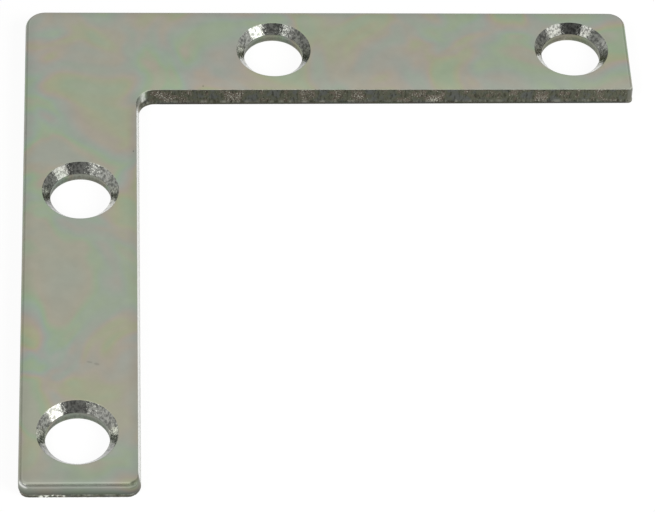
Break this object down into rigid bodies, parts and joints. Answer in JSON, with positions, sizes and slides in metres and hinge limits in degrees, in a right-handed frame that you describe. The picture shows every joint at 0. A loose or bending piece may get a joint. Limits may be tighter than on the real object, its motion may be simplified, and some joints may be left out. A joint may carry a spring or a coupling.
{
  "type": "flat corner brace",
  "caption": "Flat L-shaped steel brace with rounded corners and countersunk screw holes, screwed flat across a corner joint to keep it square.",
  "frame": {"origin": "on the underside, where the centre lines of the two legs cross", "axes": "one leg runs along +X and the other along +Y; +Z is normal to the plate, and the countersinks open towards +Z"},
  "size_m": [0.0889, 0.0889, 0.0027],
  "materials": {
    "zinc_plate": "satin zinc plating with a clear passivate"
  },
  "bodies": {
    "root": {"brace": "zinc_plate"}
  },
  "joints": []
}
